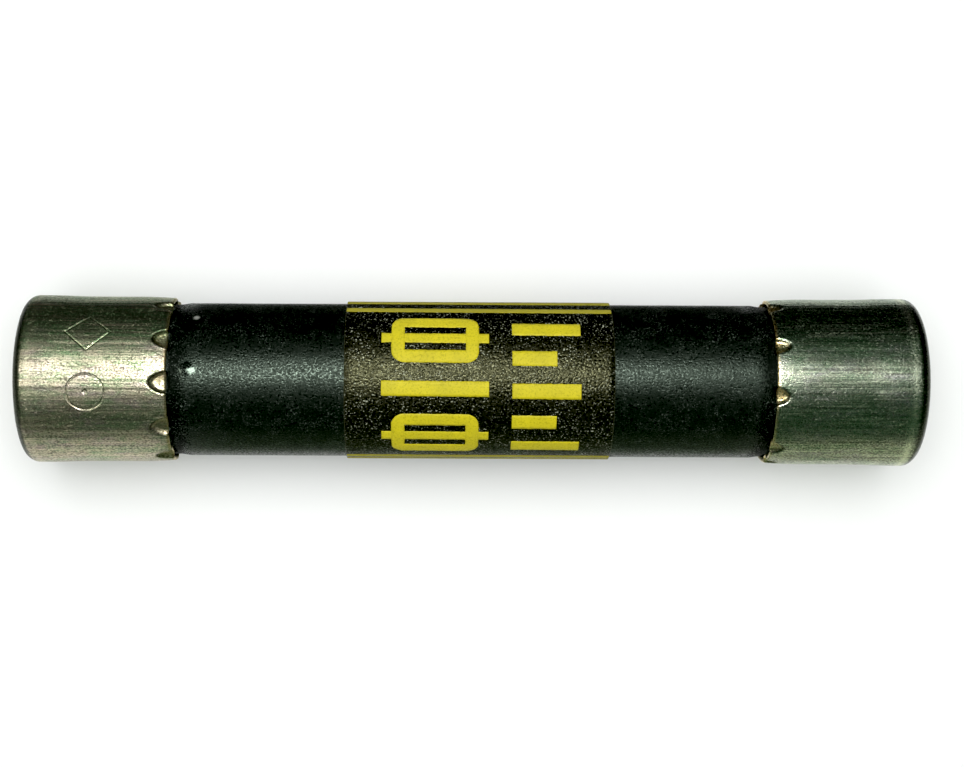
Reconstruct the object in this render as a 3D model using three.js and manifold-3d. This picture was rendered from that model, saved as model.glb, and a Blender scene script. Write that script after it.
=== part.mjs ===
// Cartridge fuse, 1/4 in x 1 1/4 in. A black insulating tube carries a thin metal cap on each end, cemented
// and crimped at its open rim. A paper label is wrapped round the middle. Inside, a necked fusible link runs
// from cap to cap through quartz sand, soldered to both caps.
//
// Millimetres. The fuse lies along X with the origin at its middle, and the label's printed panel faces +Z.
// Angles round the fuse are degrees from +Z toward +Y.
import * as THREE from 'three';
import { mergeVertices } from 'three/addons/utils/BufferGeometryUtils.js';
import Module from 'manifold-3d';

// Overall
const OVERALL_LENGTH = 32.5;
const CLEARANCE = 0.02; // between neighbouring pieces that touch on the real fuse
const CORE_CLEARANCE = 0.03; // between the tube's bore and what fills it
const ROUNDING = 0.0001; // more than 32-bit numbers round a vertex by

// End caps: drawn cups that taper slightly from the shoulder to the open rim
const CAP_LENGTH = 5.46;
const CAP_RADIUS = 3.075;
const CAP_RIM_RADIUS = 2.98;
const CAP_TAPER_START = 1.0; // distance from the closed end
const CAP_CORNER_RADIUS = 0.45;
const CAP_WALL = 0.15;

// Crimps: half-moon dents pressed into the open rim of each cap
const CRIMPS_PER_CAP = 10;
const CRIMP_DEPTH = 0.2;
const CRIMP_REACH = 0.6; // along the fuse, from the rim
const CRIMP_HALF_WIDTH = 0.39;
const CRIMP_ANGLE_LEFT = -3.4; // where one crimp of the cap sits
const CRIMP_ANGLE_RIGHT = -9.1;

// Insulating tube
const TUBE_LENGTH = 31.8;
const TUBE_RADIUS = 2.8;
const TUBE_CHAMFER = 0.1;
const BORE_RADIUS = 1.9;
const TUBE_RIM_GAP = 0.03; // between the tube and the inside of the cap's rim
const TUBE_BULGE_LENGTH = 0.12; // the pressed-in tube is round again this far outside the rim

// Paper label: a strip wound once round the tube, with its outer end glued over its inner end
const LABEL_WIDTH = 9.58;
const LABEL_OFFSET = 0.28; // of its middle, toward +X
const LABEL_THICKNESS = 0.075;
const LABEL_GAP = 0.01;
const LABEL_START_ANGLE = 166;
const LABEL_OVERLAP_ANGLE = 13.5;
const LABEL_CLIMB_ANGLE = 13.5; // over which the outer end climbs onto the inner end

// Cement between the cap and the tube, measured from the closed end
const CEMENT_START = 0.7;
const CEMENT_END = 3.3;

// Solder inside the closed end: a thin disc over the tube's end face and a domed plug in the bore
const SOLDER_DISC_RADIUS = 2.6;
const SOLDER_PLUG_DEPTH = 0.8;
const SOLDER_DOME_HEIGHT = 0.3;

// Fibre washer in the bore, measured from the closed end
const WASHER_DEPTH = 1.5;
const WASHER_THICKNESS = 0.4;

// Fusible link: a flat strip with two narrow necks
const LINK_END_DEPTH = 0.3; // from the closed end of the cap to the end of the strip
const LINK_WIDTH = 1.2;
const LINK_THICKNESS = 0.12;
const LINK_NECK_WIDTH = 0.3;
const LINK_NECK_SPACING = 6.4;
const LINK_NOTCH_RADIUS = 0.5;
const LINK_CLEARANCE = 0.03;

// Facets
const CRIMP_FACETS = 8; // per crimp pitch, round the caps and the tube
const SHELL_SEGMENTS = CRIMPS_PER_CAP * CRIMP_FACETS;
const INNER_SEGMENTS = 40;
const CORNER_FACETS = 4;
const DOME_FACETS = 3;
const NOTCH_FACETS = 6;

// Worked out from the above
const HALF_LENGTH = OVERALL_LENGTH / 2;
const RIM_X = HALF_LENGTH - CAP_LENGTH;
const HALF_TUBE = TUBE_LENGTH / 2;
const CORE_RADIUS = BORE_RADIUS - CORE_CLEARANCE;
const CRIMP_PITCH = 360 / CRIMPS_PER_CAP;

const MATERIALS = {
  cap: new THREE.MeshStandardMaterial({ color: 0x8f8d7c, roughness: 0.38, metalness: 1 }),
  tube: new THREE.MeshStandardMaterial({ color: 0x15150f, roughness: 0.45, metalness: 0 }),
  label: new THREE.MeshStandardMaterial({ color: 0x1c1b14, roughness: 0.85, metalness: 0 }),
  cement: new THREE.MeshStandardMaterial({ color: 0x9c7f55, roughness: 0.9, metalness: 0 }),
  solder: new THREE.MeshStandardMaterial({ color: 0xa9abac, roughness: 0.35, metalness: 1 }),
  washer: new THREE.MeshStandardMaterial({ color: 0x8a5a3c, roughness: 0.9, metalness: 0 }),
  link: new THREE.MeshStandardMaterial({ color: 0xc9c6bd, roughness: 0.3, metalness: 1 }),
  sand: new THREE.MeshStandardMaterial({ color: 0xd8cdb4, roughness: 1, metalness: 0 }),
};

const wasm = await Module();
wasm.setup();

// ---------------------------------------------------------------- shared shapes

// A solid turned round X from a profile of [x, radius] points, which runs toward +X on the outside.
function turned(profile, segments) {
  const points = profile.map(([x, radius]) => new THREE.Vector2(radius, x));
  return new THREE.LatheGeometry(points, segments).rotateZ(-Math.PI / 2);
}

// The points of a quarter circle between the cap's wall and its closed end.
function cornerArc(centerX, centerRadius, radius, facets) {
  const points = [];
  for (let i = 0; i <= facets; i++) {
    const angle = (i / facets) * (Math.PI / 2);
    points.push([centerX + radius * Math.sin(angle), centerRadius + radius * Math.cos(angle)]);
  }
  return points;
}

// Moves each vertex of a turned solid: move() gets and returns its { x, radius, angle }, in degrees.
function reshape(geometry, move) {
  const position = geometry.getAttribute('position');
  for (let i = 0; i < position.count; i++) {
    const [x, y, z] = [position.getX(i), position.getY(i), position.getZ(i)];
    const angle = THREE.MathUtils.radToDeg(Math.atan2(y, z));
    const moved = move({ x, radius: Math.hypot(y, z), angle });
    const turn = THREE.MathUtils.degToRad(moved.angle);
    position.setXYZ(i, moved.x, moved.radius * Math.sin(turn), moved.radius * Math.cos(turn));
  }
  geometry.computeVertexNormals();
  return geometry;
}

// A three.js geometry as a manifold-3d solid.
function solidOf(geometry) {
  const bare = geometry.clone();
  bare.deleteAttribute('normal');
  bare.deleteAttribute('uv');
  const merged = mergeVertices(bare);
  const vertProperties = merged.getAttribute('position').array;
  const triVerts = new Uint32Array(merged.index.array);
  return new wasm.Manifold(new wasm.Mesh({ numProp: 3, vertProperties, triVerts }));
}

function subtract(geometry, cutter) {
  const mesh = solidOf(geometry).subtract(solidOf(cutter)).getMesh();
  const result = new THREE.BufferGeometry();
  result.setAttribute('position', new THREE.BufferAttribute(mesh.vertProperties, 3));
  result.setIndex(new THREE.BufferAttribute(mesh.triVerts, 1));
  result.computeVertexNormals();
  return result;
}

function piece(name, geometry, material) {
  const mesh = new THREE.Mesh(geometry, material);
  mesh.name = name;
  return mesh;
}

// ---------------------------------------------------------------- crimps

// Splits an angle on the even grid into its crimp's centre and its place beside it, and draws the grid in
// so that two facets cover each half of a crimp.
function crimpPlace(angle) {
  const evenOffset = angle - CRIMP_PITCH * Math.round(angle / CRIMP_PITCH);
  const crimpEdge = THREE.MathUtils.radToDeg(CRIMP_HALF_WIDTH / CAP_RIM_RADIUS);
  const quarter = CRIMP_PITCH / 4;
  const beyond = Math.abs(evenOffset) - quarter;
  const distance =
    beyond <= 0
      ? (Math.abs(evenOffset) / quarter) * crimpEdge
      : crimpEdge + (beyond / quarter) * (2 * quarter - crimpEdge);
  const offset = Math.sign(evenOffset) * distance;
  return { center: angle - evenOffset, offset };
}

// How deep the metal is pressed in, this far inside the rim and this many degrees beside a crimp's centre.
function crimpDepth(fromRim, offset) {
  const arc = THREE.MathUtils.degToRad(offset) * CAP_RIM_RADIUS;
  return CRIMP_DEPTH * Math.max(0, 1 - Math.hypot(fromRim / CRIMP_REACH, arc / CRIMP_HALF_WIDTH));
}

// ---------------------------------------------------------------- end caps

// Outer radius of the cap's wall, before crimping, at a distance from the closed end.
function capRadius(depth) {
  const taper = Math.max(0, (depth - CAP_TAPER_START) / (CAP_LENGTH - CAP_TAPER_START));
  return CAP_RADIUS - (CAP_RADIUS - CAP_RIM_RADIUS) * taper;
}

// Cap in its own frame: the closed end is at x = 0 and faces +X.
function makeCap(crimpAngle) {
  const lip = CAP_WALL / 2;
  const wallDepths = [CAP_LENGTH - lip, CAP_LENGTH - CRIMP_REACH / 2, CAP_LENGTH - CRIMP_REACH, CAP_TAPER_START];
  const outerWall = wallDepths.map((depth) => [-depth, capRadius(depth)]);
  const innerWall = wallDepths.map((depth) => [-depth, capRadius(depth) - CAP_WALL]).reverse();
  const cornerRadius = CAP_RADIUS - CAP_CORNER_RADIUS;
  const outerCorner = cornerArc(-CAP_CORNER_RADIUS, cornerRadius, CAP_CORNER_RADIUS, CORNER_FACETS);
  const innerCorner = cornerArc(-CAP_CORNER_RADIUS, cornerRadius, CAP_CORNER_RADIUS - CAP_WALL, 2).reverse();
  const rimTip = [-CAP_LENGTH, CAP_RIM_RADIUS - lip];
  const profile = [[-CAP_WALL, 0], ...innerCorner, ...innerWall, rimTip, ...outerWall, ...outerCorner, [0, 0]];
  return reshape(turned(profile, SHELL_SEGMENTS), ({ x, radius, angle }) => {
    const { center, offset } = crimpPlace(angle);
    const dent = crimpDepth(CAP_LENGTH + x, offset);
    return { x, radius: radius - dent, angle: crimpAngle + center + offset };
  });
}

// ---------------------------------------------------------------- tube

// Outer radius of the tube, which the crimps press in just inside the caps' rims.
function tubeRadius(x, offset) {
  const fromRim = Math.abs(x) - RIM_X;
  if (fromRim < -ROUNDING || fromRim > CRIMP_REACH) return TUBE_RADIUS;
  const capInside = capRadius(CAP_LENGTH - fromRim) - CAP_WALL - crimpDepth(fromRim, offset);
  return Math.min(TUBE_RADIUS, capInside - TUBE_RIM_GAP);
}

function makeTube() {
  const bulgeX = RIM_X - TUBE_BULGE_LENGTH;
  const crimpRows = [bulgeX, RIM_X, RIM_X + CRIMP_REACH / 2, RIM_X + CRIMP_REACH];
  const endRows = [...crimpRows, HALF_TUBE - TUBE_CHAMFER].map((x) => [x, TUBE_RADIUS]);
  const halfOutside = [...endRows, [HALF_TUBE, TUBE_RADIUS - TUBE_CHAMFER]];
  const otherHalf = halfOutside.map(([x, radius]) => [-x, radius]).reverse();
  const profile = [[-HALF_TUBE, BORE_RADIUS], ...otherHalf, ...halfOutside, [HALF_TUBE, BORE_RADIUS]];
  profile.push(profile[0]);
  return reshape(turned(profile, SHELL_SEGMENTS), ({ x, radius, angle }) => {
    const { center, offset } = crimpPlace(angle);
    const across = THREE.MathUtils.clamp((x + bulgeX) / (2 * bulgeX), 0, 1);
    const crimpAngle = THREE.MathUtils.lerp(CRIMP_ANGLE_LEFT, CRIMP_ANGLE_RIGHT, across);
    const outside = radius > BORE_RADIUS + TUBE_CHAMFER;
    const pressed = outside ? Math.min(radius, tubeRadius(x, offset)) : radius;
    return { x, radius: pressed, angle: crimpAngle + center + offset };
  });
}

// ---------------------------------------------------------------- label

// Cross-section of the wound strip, drawn in a plane whose +X is the fuse's -Z and whose +Y is its +Y.
function labelSection() {
  const steps = Math.round(((360 + LABEL_OVERLAP_ANGLE) / 360) * SHELL_SEGMENTS);
  const inner = [];
  const outer = [];
  for (let i = 0; i <= steps; i++) {
    const turn = (i / SHELL_SEGMENTS) * 360;
    const climbed = THREE.MathUtils.clamp((turn - 360) / LABEL_CLIMB_ANGLE + 1, 0, 1);
    const innerRadius = TUBE_RADIUS + LABEL_GAP + climbed * (LABEL_THICKNESS + LABEL_GAP);
    const angle = THREE.MathUtils.degToRad(LABEL_START_ANGLE + turn);
    const direction = new THREE.Vector2(-Math.cos(angle), Math.sin(angle));
    inner.push(direction.clone().multiplyScalar(innerRadius));
    outer.push(direction.clone().multiplyScalar(innerRadius + LABEL_THICKNESS));
  }
  return new THREE.Shape([...inner, ...outer.reverse()]);
}

function makeLabel() {
  const strip = new THREE.ExtrudeGeometry(labelSection(), { depth: LABEL_WIDTH, bevelEnabled: false });
  return strip.translate(0, 0, -LABEL_WIDTH / 2).rotateY(Math.PI / 2);
}

// ---------------------------------------------------------------- inside the ends

// These are in the cap's frame, with the cap's closed end at x = 0 facing +X.

function makeCement() {
  const inner = TUBE_RADIUS + CLEARANCE;
  const outerAt = (depth) => capRadius(depth) - CAP_WALL - CLEARANCE;
  const profile = [
    [-CEMENT_END, inner],
    [-CEMENT_END, outerAt(CEMENT_END)],
    [-CAP_TAPER_START, outerAt(CAP_TAPER_START)],
    [-CEMENT_START, outerAt(CEMENT_START)],
    [-CEMENT_START, inner],
    [-CEMENT_END, inner],
  ];
  return turned(profile, INNER_SEGMENTS);
}

// The slot that the link's end takes in a piece, from the given depth inward past the piece.
function linkSlot(startDepth) {
  const length = 2;
  const slot = new THREE.BoxGeometry(
    length,
    LINK_WIDTH + 2 * LINK_CLEARANCE,
    LINK_THICKNESS + 2 * LINK_CLEARANCE,
  );
  return slot.translate(-startDepth - length / 2, 0, 0);
}

function makeSolder() {
  const top = -CAP_WALL - CLEARANCE;
  const discBottom = HALF_TUBE - HALF_LENGTH + CLEARANCE;
  const profile = [];
  for (let i = 0; i <= DOME_FACETS; i++) {
    const angle = (i / DOME_FACETS) * (Math.PI / 2);
    profile.push([-SOLDER_PLUG_DEPTH - SOLDER_DOME_HEIGHT * Math.cos(angle), CORE_RADIUS * Math.sin(angle)]);
  }
  profile.push([discBottom, CORE_RADIUS], [discBottom, SOLDER_DISC_RADIUS], [top, SOLDER_DISC_RADIUS], [top, 0]);
  return subtract(turned(profile, INNER_SEGMENTS), linkSlot(LINK_END_DEPTH - LINK_CLEARANCE));
}

function makeWasher() {
  const bottom = -WASHER_DEPTH - WASHER_THICKNESS;
  const profile = [
    [bottom, 0],
    [bottom, CORE_RADIUS],
    [-WASHER_DEPTH, CORE_RADIUS],
    [-WASHER_DEPTH, 0],
  ];
  return subtract(turned(profile, INNER_SEGMENTS), linkSlot(WASHER_DEPTH / 2));
}

// ---------------------------------------------------------------- link and sand

// Outline of the strip in the XY plane, grown on every side by a margin.
function linkOutline(margin) {
  const halfLength = HALF_LENGTH - LINK_END_DEPTH + margin;
  const halfWidth = LINK_WIDTH / 2 + margin;
  const notchRadius = LINK_NOTCH_RADIUS - margin;
  const notchY = LINK_NECK_WIDTH / 2 + LINK_NOTCH_RADIUS;
  const edgeAngle = Math.acos((notchY - halfWidth) / notchRadius);
  const outline = new THREE.Shape();
  outline.moveTo(halfLength, -halfWidth);
  outline.lineTo(halfLength, halfWidth);
  for (const x of [LINK_NECK_SPACING / 2, -LINK_NECK_SPACING / 2]) {
    outline.absarc(x, notchY, notchRadius, edgeAngle - Math.PI / 2, -edgeAngle - Math.PI / 2, true);
  }
  outline.lineTo(-halfLength, halfWidth);
  outline.lineTo(-halfLength, -halfWidth);
  for (const x of [-LINK_NECK_SPACING / 2, LINK_NECK_SPACING / 2]) {
    outline.absarc(x, -notchY, notchRadius, edgeAngle + Math.PI / 2, Math.PI / 2 - edgeAngle, true);
  }
  return outline;
}

function linkSolid(margin) {
  const depth = LINK_THICKNESS + 2 * margin;
  const options = { depth, bevelEnabled: false, curveSegments: NOTCH_FACETS };
  return new THREE.ExtrudeGeometry(linkOutline(margin), options).translate(0, 0, -depth / 2);
}

function makeSand() {
  const end = HALF_LENGTH - WASHER_DEPTH - WASHER_THICKNESS - CLEARANCE;
  const profile = [
    [-end, 0],
    [-end, CORE_RADIUS],
    [end, CORE_RADIUS],
    [end, 0],
  ];
  return subtract(turned(profile, INNER_SEGMENTS), linkSolid(LINK_CLEARANCE));
}

// ---------------------------------------------------------------- assembly

// One end of the fuse; the left end is the right one turned half round about Z.
function makeEnd(side, crimpAngle) {
  const end = new THREE.Group();
  end.add(
    piece(`end_cap_${side}`, makeCap(crimpAngle), MATERIALS.cap),
    piece(`cap_cement_${side}`, makeCement(), MATERIALS.cement),
    piece(`solder_${side}`, makeSolder(), MATERIALS.solder),
    piece(`end_washer_${side}`, makeWasher(), MATERIALS.washer),
  );
  return end;
}

const rightEnd = makeEnd('right', CRIMP_ANGLE_RIGHT);
rightEnd.position.x = HALF_LENGTH;

const leftEnd = makeEnd('left', -CRIMP_ANGLE_LEFT);
leftEnd.position.x = -HALF_LENGTH;
leftEnd.rotation.z = Math.PI;

const label = piece('paper_label', makeLabel(), MATERIALS.label);
label.position.x = LABEL_OFFSET;

const fuse = new THREE.Group();
fuse.name = 'cartridge_fuse';
fuse.add(
  piece('tube_body', makeTube(), MATERIALS.tube),
  label,
  leftEnd,
  rightEnd,
  piece('fusible_link', linkSolid(0), MATERIALS.link),
  piece('sand_filler', makeSand(), MATERIALS.sand),
);

export default fuse;
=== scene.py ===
# Cartridge fuse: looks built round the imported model. Metres, with the fuse along X and its label facing +Z.
# Angles round the fuse are degrees from +Z toward +Y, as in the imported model.
import math
import random

import bpy
import numpy as np
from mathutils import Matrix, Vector, noise


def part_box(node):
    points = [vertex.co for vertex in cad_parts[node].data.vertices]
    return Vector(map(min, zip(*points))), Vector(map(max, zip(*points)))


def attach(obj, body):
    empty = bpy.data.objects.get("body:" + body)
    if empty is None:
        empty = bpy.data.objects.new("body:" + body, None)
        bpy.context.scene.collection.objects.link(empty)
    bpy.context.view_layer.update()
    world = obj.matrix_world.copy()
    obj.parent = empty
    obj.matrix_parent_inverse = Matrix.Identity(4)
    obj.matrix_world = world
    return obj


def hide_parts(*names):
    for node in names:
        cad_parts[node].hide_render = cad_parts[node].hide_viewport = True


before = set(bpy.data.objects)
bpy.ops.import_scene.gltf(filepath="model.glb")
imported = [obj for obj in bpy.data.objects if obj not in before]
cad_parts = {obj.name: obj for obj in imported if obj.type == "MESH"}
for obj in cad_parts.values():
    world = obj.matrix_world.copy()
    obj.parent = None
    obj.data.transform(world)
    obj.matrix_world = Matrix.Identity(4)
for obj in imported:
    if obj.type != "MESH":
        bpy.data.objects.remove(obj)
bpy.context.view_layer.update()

MM = 0.001
# The fuse's ends, as signs of x. A setting that differs between the caps is keyed by them.
LEFT, RIGHT = -1, 1

# ------------------------------------------------------------------ sizes

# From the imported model
cap_low, cap_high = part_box("end_cap_right")
tube_low, tube_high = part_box("tube_body")
label_low, label_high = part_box("paper_label")
END_X = cap_high.x
RIM_X = cap_low.x
CAP_LENGTH = END_X - RIM_X
CAP_RADIUS = (cap_high.z - cap_low.z) / 2
HALF_TUBE = tube_high.x
TUBE_RADIUS = (tube_high.z - tube_low.z) / 2
LABEL_X = (label_low.x, label_high.x)

# Caps: a small step down from the closed end, and a rim that the crimping turns in
CAP_STEP_DOWN = 0.04 * MM
CAP_STEP_START = 0.8 * MM
CAP_STEP_LENGTH = 1.6 * MM
CAP_TURN_IN = 0.055 * MM
CAP_TURN_IN_LENGTH = 1.3 * MM
CAP_RIM_RADIUS = CAP_RADIUS - CAP_STEP_DOWN - CAP_TURN_IN
CAP_CORNER_RADIUS = 0.45 * MM
CAP_WALL = 0.15 * MM
RIM_LIP_LENGTH = 0.1 * MM

# Crimps round each open rim. Reach runs along the fuse from the rim, and half width runs round the fuse.
CRIMPS_PER_CAP = 10
CRIMP_PITCH = 360 / CRIMPS_PER_CAP
CRIMP_ZONE = 0.8 * MM
CRIMP_DEPTH = 0.2 * MM
CRIMP_REACH = 0.55 * MM
CRIMP_HALF_WIDTH = 0.335 * MM
CRIMP_SIZE = {LEFT: 1.2, RIGHT: 1.0}
FIRST_CRIMP_ANGLE = {LEFT: -3.4, RIGHT: -9.1}
CRIMP_SEED = {LEFT: 5, RIGHT: 8}
# Depth of a crimp's floor at its far end as a share of its depth at the rim, how much shallower the floor is
# at its sides, and the share of the crimp that its wall takes up
CRIMP_FLOOR_SHARE = {LEFT: 0.6, RIGHT: 0.4}
CRIMP_HOLLOW_SHARE = 0.45
CRIMP_WALL_SHARE = 0.33
# Raised lip of metal round a crimp. Its place and width are shares of the crimp's own size.
CRIMP_LIP_HEIGHT = 0.006 * MM
CRIMP_LIP_PLACE = 1.08
CRIMP_LIP_WIDTH = 0.08
# The most degrees by which crimps are drawn together toward +Z, and which of the right cap's crimps is off
# its place and by how many degrees
CRIMP_BUNCHING = {LEFT: 8.5, RIGHT: 0}
LATE_CRIMP = 9
LATE_CRIMP_SHIFT = -10

# Tube
BORE_RADIUS = 1.9 * MM
TUBE_END_BEVEL = 0.1 * MM
TUBE_RIM_GAP = 0.02 * MM
TUBE_PRESS_FADE = 0.16 * MM
TUBE_WAIST_DEPTH = 0.05 * MM
TUBE_WAIST_START = 0.16 * MM
TUBE_WAIST_LENGTH = 0.42 * MM
# The dulled band beside each rim: its length, how far specks are strewn to both sides of its edge, and how
# ragged that edge is
DULL_LENGTH = 0.48 * MM
DULL_FADE = 0.2 * MM
DULL_RAGGED_SHARE = 0.6
# A small bead and a pale spot, both near the left rim. The bead is fully shiny above a share of its height.
BEAD_X = -10.08 * MM
BEAD_ANGLE = 7
BEAD_RADIUS = 0.22 * MM
BEAD_HEIGHT = 0.023 * MM
BEAD_SHINY_SHARE = 0.35
SPOT_X = -9.87 * MM
SPOT_ANGLE = 52
SPOT_RADIUS = 0.14 * MM

# Unevenness of the caps and the tube: the size of its features, and how far it moves the surface
CAP_WOBBLE = (1.1 * MM, 0.006 * MM)
TUBE_WOBBLE = (0.9 * MM, 0.004 * MM)

# Label
LABEL_GAP = 0.01 * MM
LABEL_THICKNESS = 0.075 * MM
LABEL_EDGE_BEVEL = 0.012 * MM
LABEL_RADIUS = TUBE_RADIUS + LABEL_GAP + LABEL_THICKNESS
LABEL_START_ANGLE = 166
LABEL_OVERLAP_ANGLE = 13.5
LABEL_CLIMB_ANGLE = 13.5

# Ink on the label: places are (x from the label's middle, arc from the panel's middle)
INK_HEIGHT = 0.005 * MM
INK_STROKE = 0.55 * MM
INK_RAGGEDNESS = 0.016 * MM
INK_RAGGED_SIZE = 0.1 * MM
SYMBOL_STROKE = 0.47 * MM
SYMBOL_LINE_SHARE = 0.84
PRINT_SKEW = math.tan(math.radians(-0.37))
# Section of a stroke of ink, as shares of its half width and of its height
INK_SECTION_ACROSS = (-1, -1, -0.66, -0.33, 0, 0.33, 0.66, 1, 1)
INK_SECTION_LIFT = (0, 1, 1, 1, 1, 1, 1, 1, 0)

# ------------------------------------------------------------------ mesh helpers


def spaced(start, end, step):
    """Evenly spaced numbers from start to end, both included, no further apart than step."""
    return np.linspace(start, end, max(2, math.ceil(abs(end - start) / step) + 1))


def smoothstep(value):
    """0 below 0, 1 above 1, smooth between."""
    clipped = np.clip(value, 0, 1)
    return clipped * clipped * (3 - 2 * clipped)


def on_cylinder(x, radius, angle):
    """Points at a place along the fuse, a radius and an angle in degrees."""
    turn = np.radians(angle)
    return np.stack(np.broadcast_arrays(x, radius * np.sin(turn), radius * np.cos(turn)), axis=-1)


def mesh_object(name, points, faces, material):
    """A smooth-shaded mesh object that rides on the fuse."""
    mesh = bpy.data.meshes.new(name)
    mesh.from_pydata(np.asarray(points).reshape(-1, 3).tolist(), [], [list(map(int, f)) for f in faces])
    mesh.polygons.foreach_set("use_smooth", [True] * len(mesh.polygons))
    mesh.update()
    mesh.materials.append(material)
    made = bpy.data.objects.new(name, mesh)
    bpy.context.scene.collection.objects.link(made)
    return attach(made, "root")


def grid_faces(rows, columns, close_rows=False):
    """Quads of a grid of points. They face outward when rows run toward +X and columns run round the fuse."""
    i = np.arange(rows if close_rows else rows - 1)
    left = np.arange(columns)
    right = (left + 1) % columns
    near, far = i * columns, (i + 1) % rows * columns
    quads = np.stack(
        [
            near[:, None] + left,
            far[:, None] + left,
            far[:, None] + right,
            near[:, None] + right,
        ],
        axis=-1,
    )
    return quads.reshape(-1, 4).tolist()


def wobbled(points, size, amount):
    """Points moved off or toward the axis by smooth noise with features of a given size."""
    flat = points.reshape(-1, 3)
    shift = np.array([noise.noise(Vector(p) / size) for p in flat.tolist()]) * amount
    radius = np.maximum(np.hypot(flat[:, 1], flat[:, 2]), 1e-9)
    scale = 1 + shift / radius
    moved = flat * np.stack([np.ones_like(scale), scale, scale], axis=-1)
    return moved.reshape(points.shape)


def set_attribute(made, name, values):
    """A number at each vertex of an object, which its material reads by name."""
    attribute = made.data.attributes.new(name, "FLOAT", "POINT")
    attribute.data.foreach_set("value", np.asarray(values, np.float32).ravel())


# ------------------------------------------------------------------ node helpers


def feed(tree, socket, value):
    """Joins a socket to a node's input, or sets the input's plain value."""
    if isinstance(value, bpy.types.NodeSocket):
        tree.links.new(value, socket)
    else:
        socket.default_value = value


def node(tree, kind, inputs=None, **settings):
    """Adds a shader node. An input is a plain value, or an output socket to join to it."""
    made = tree.nodes.new("ShaderNode" + kind)
    for key, value in settings.items():
        setattr(made, key, value)
    for key, value in (inputs or {}).items():
        feed(tree, made.inputs[key], value)
    return made


def new_material(name):
    """An empty node material, its tree and its Principled shader."""
    material = bpy.data.materials.new(name)
    material.use_nodes = True
    tree = material.node_tree
    tree.nodes.clear()
    shader = node(tree, "BsdfPrincipled")
    node(tree, "OutputMaterial", {"Surface": shader.outputs["BSDF"]})
    return material, tree, shader


def place(tree):
    """Object coordinates in millimetres."""
    coordinates = node(tree, "TexCoord").outputs["Object"]
    scaled = node(tree, "VectorMath", {0: coordinates, "Scale": 1 / MM}, operation="SCALE")
    return scaled.outputs["Vector"]


def stretched_noise(tree, where, size, detail=3.0, roughness=0.55, distortion=0.0):
    """Noise from 0 to 1 whose features have the given (x, y, z) sizes in millimetres."""
    scale = [1 / s for s in size]
    mapped = node(tree, "VectorMath", {0: where, 1: scale}, operation="MULTIPLY").outputs["Vector"]
    made = node(
        tree,
        "TexNoise",
        {
            "Vector": mapped,
            "Scale": 1.0,
            "Detail": detail,
            "Roughness": roughness,
            "Distortion": distortion,
        },
    )
    return made.outputs["Fac"]


def maths(tree, operation, first, second=0.0):
    """One Math node."""
    return node(tree, "Math", {0: first, 1: second}, operation=operation).outputs[0]


def between(tree, value, low, high, to_low=0.0, to_high=1.0):
    """Value mapped from low..high to to_low..to_high, and held at the ends."""
    inputs = {"Value": value, "From Min": low, "From Max": high, "To Min": to_low, "To Max": to_high}
    return node(tree, "MapRange", inputs).outputs["Result"]


def blend(tree, share, first, second):
    """A colour between two colours."""
    made = node(tree, "Mix", {"Factor": share}, data_type="RGBA")
    for socket, value in ((made.inputs[6], first), (made.inputs[7], second)):
        feed(tree, socket, value if isinstance(value, bpy.types.NodeSocket) else (*value, 1))
    return made.outputs[2]


def shade(colour, amount):
    """A colour made lighter or darker."""
    return tuple(amount * part for part in colour)


def stored(tree, name):
    """The number that the mesh stores at each vertex under a name."""
    return node(tree, "Attribute", attribute_name=name).outputs["Fac"]


def bump(tree, height, distance, strength=1.0, normal=None):
    """A bump whose full height is distance, in millimetres."""
    inputs = {"Height": height, "Distance": distance * MM, "Strength": strength}
    if normal is not None:
        inputs["Normal"] = normal
    return node(tree, "Bump", inputs).outputs["Normal"]


# ------------------------------------------------------------------ materials


# Colours of a cap where its plate is worn through to brass, where painted shade darkens the walls of its
# crimps, and where a painted dark reflection lies on its rounded edge
BRASS = (0.95, 0.65, 0.24)
CRIMP_WALL_SHADE = (0.028, 0.02, 0.009)
EDGE_DARK_REFLECTION = (0.025, 0.03, 0.018)


def stained_plate(tree, where, tint, patina):
    """Colour of the plate under its wear: faint lilac stains and patches of patina. Painted shade adds patina
    toward +Y, and a little painted light takes some away from the highlight down.
    """
    stain = stretched_noise(tree, where, (1.3, 0.45, 0.45), detail=3, roughness=0.6)
    cloudy = stretched_noise(tree, where, (1.6, 0.6, 0.6), detail=5, roughness=0.65, distortion=0.5)
    mottle = stretched_noise(tree, where, (0.3, 0.16, 0.16), detail=2, roughness=0.6)
    across = node(tree, "SeparateXYZ", {0: where}).outputs["Y"]
    # Painted shade: patina is heavier toward +Y, darker and greener there, and lighter from the highlight
    # down
    patina_with_painted_shade = maths(tree, "ADD", cloudy, between(tree, across, 0.6, 1.9, -0.045, 0.2))
    lilac = (1.06 * tint[0], 0.97 * tint[1], 1.3 * tint[2])
    plate = blend(tree, between(tree, stain, 0.44, 0.62, 0, 0.8), shade(tint, 1.12), lilac)
    plate = blend(tree, between(tree, patina_with_painted_shade, 0.4, 0.64), plate, patina)
    return blend(tree, between(tree, mottle, 0.52, 0.68, 0, 0.6), plate, patina)


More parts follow.
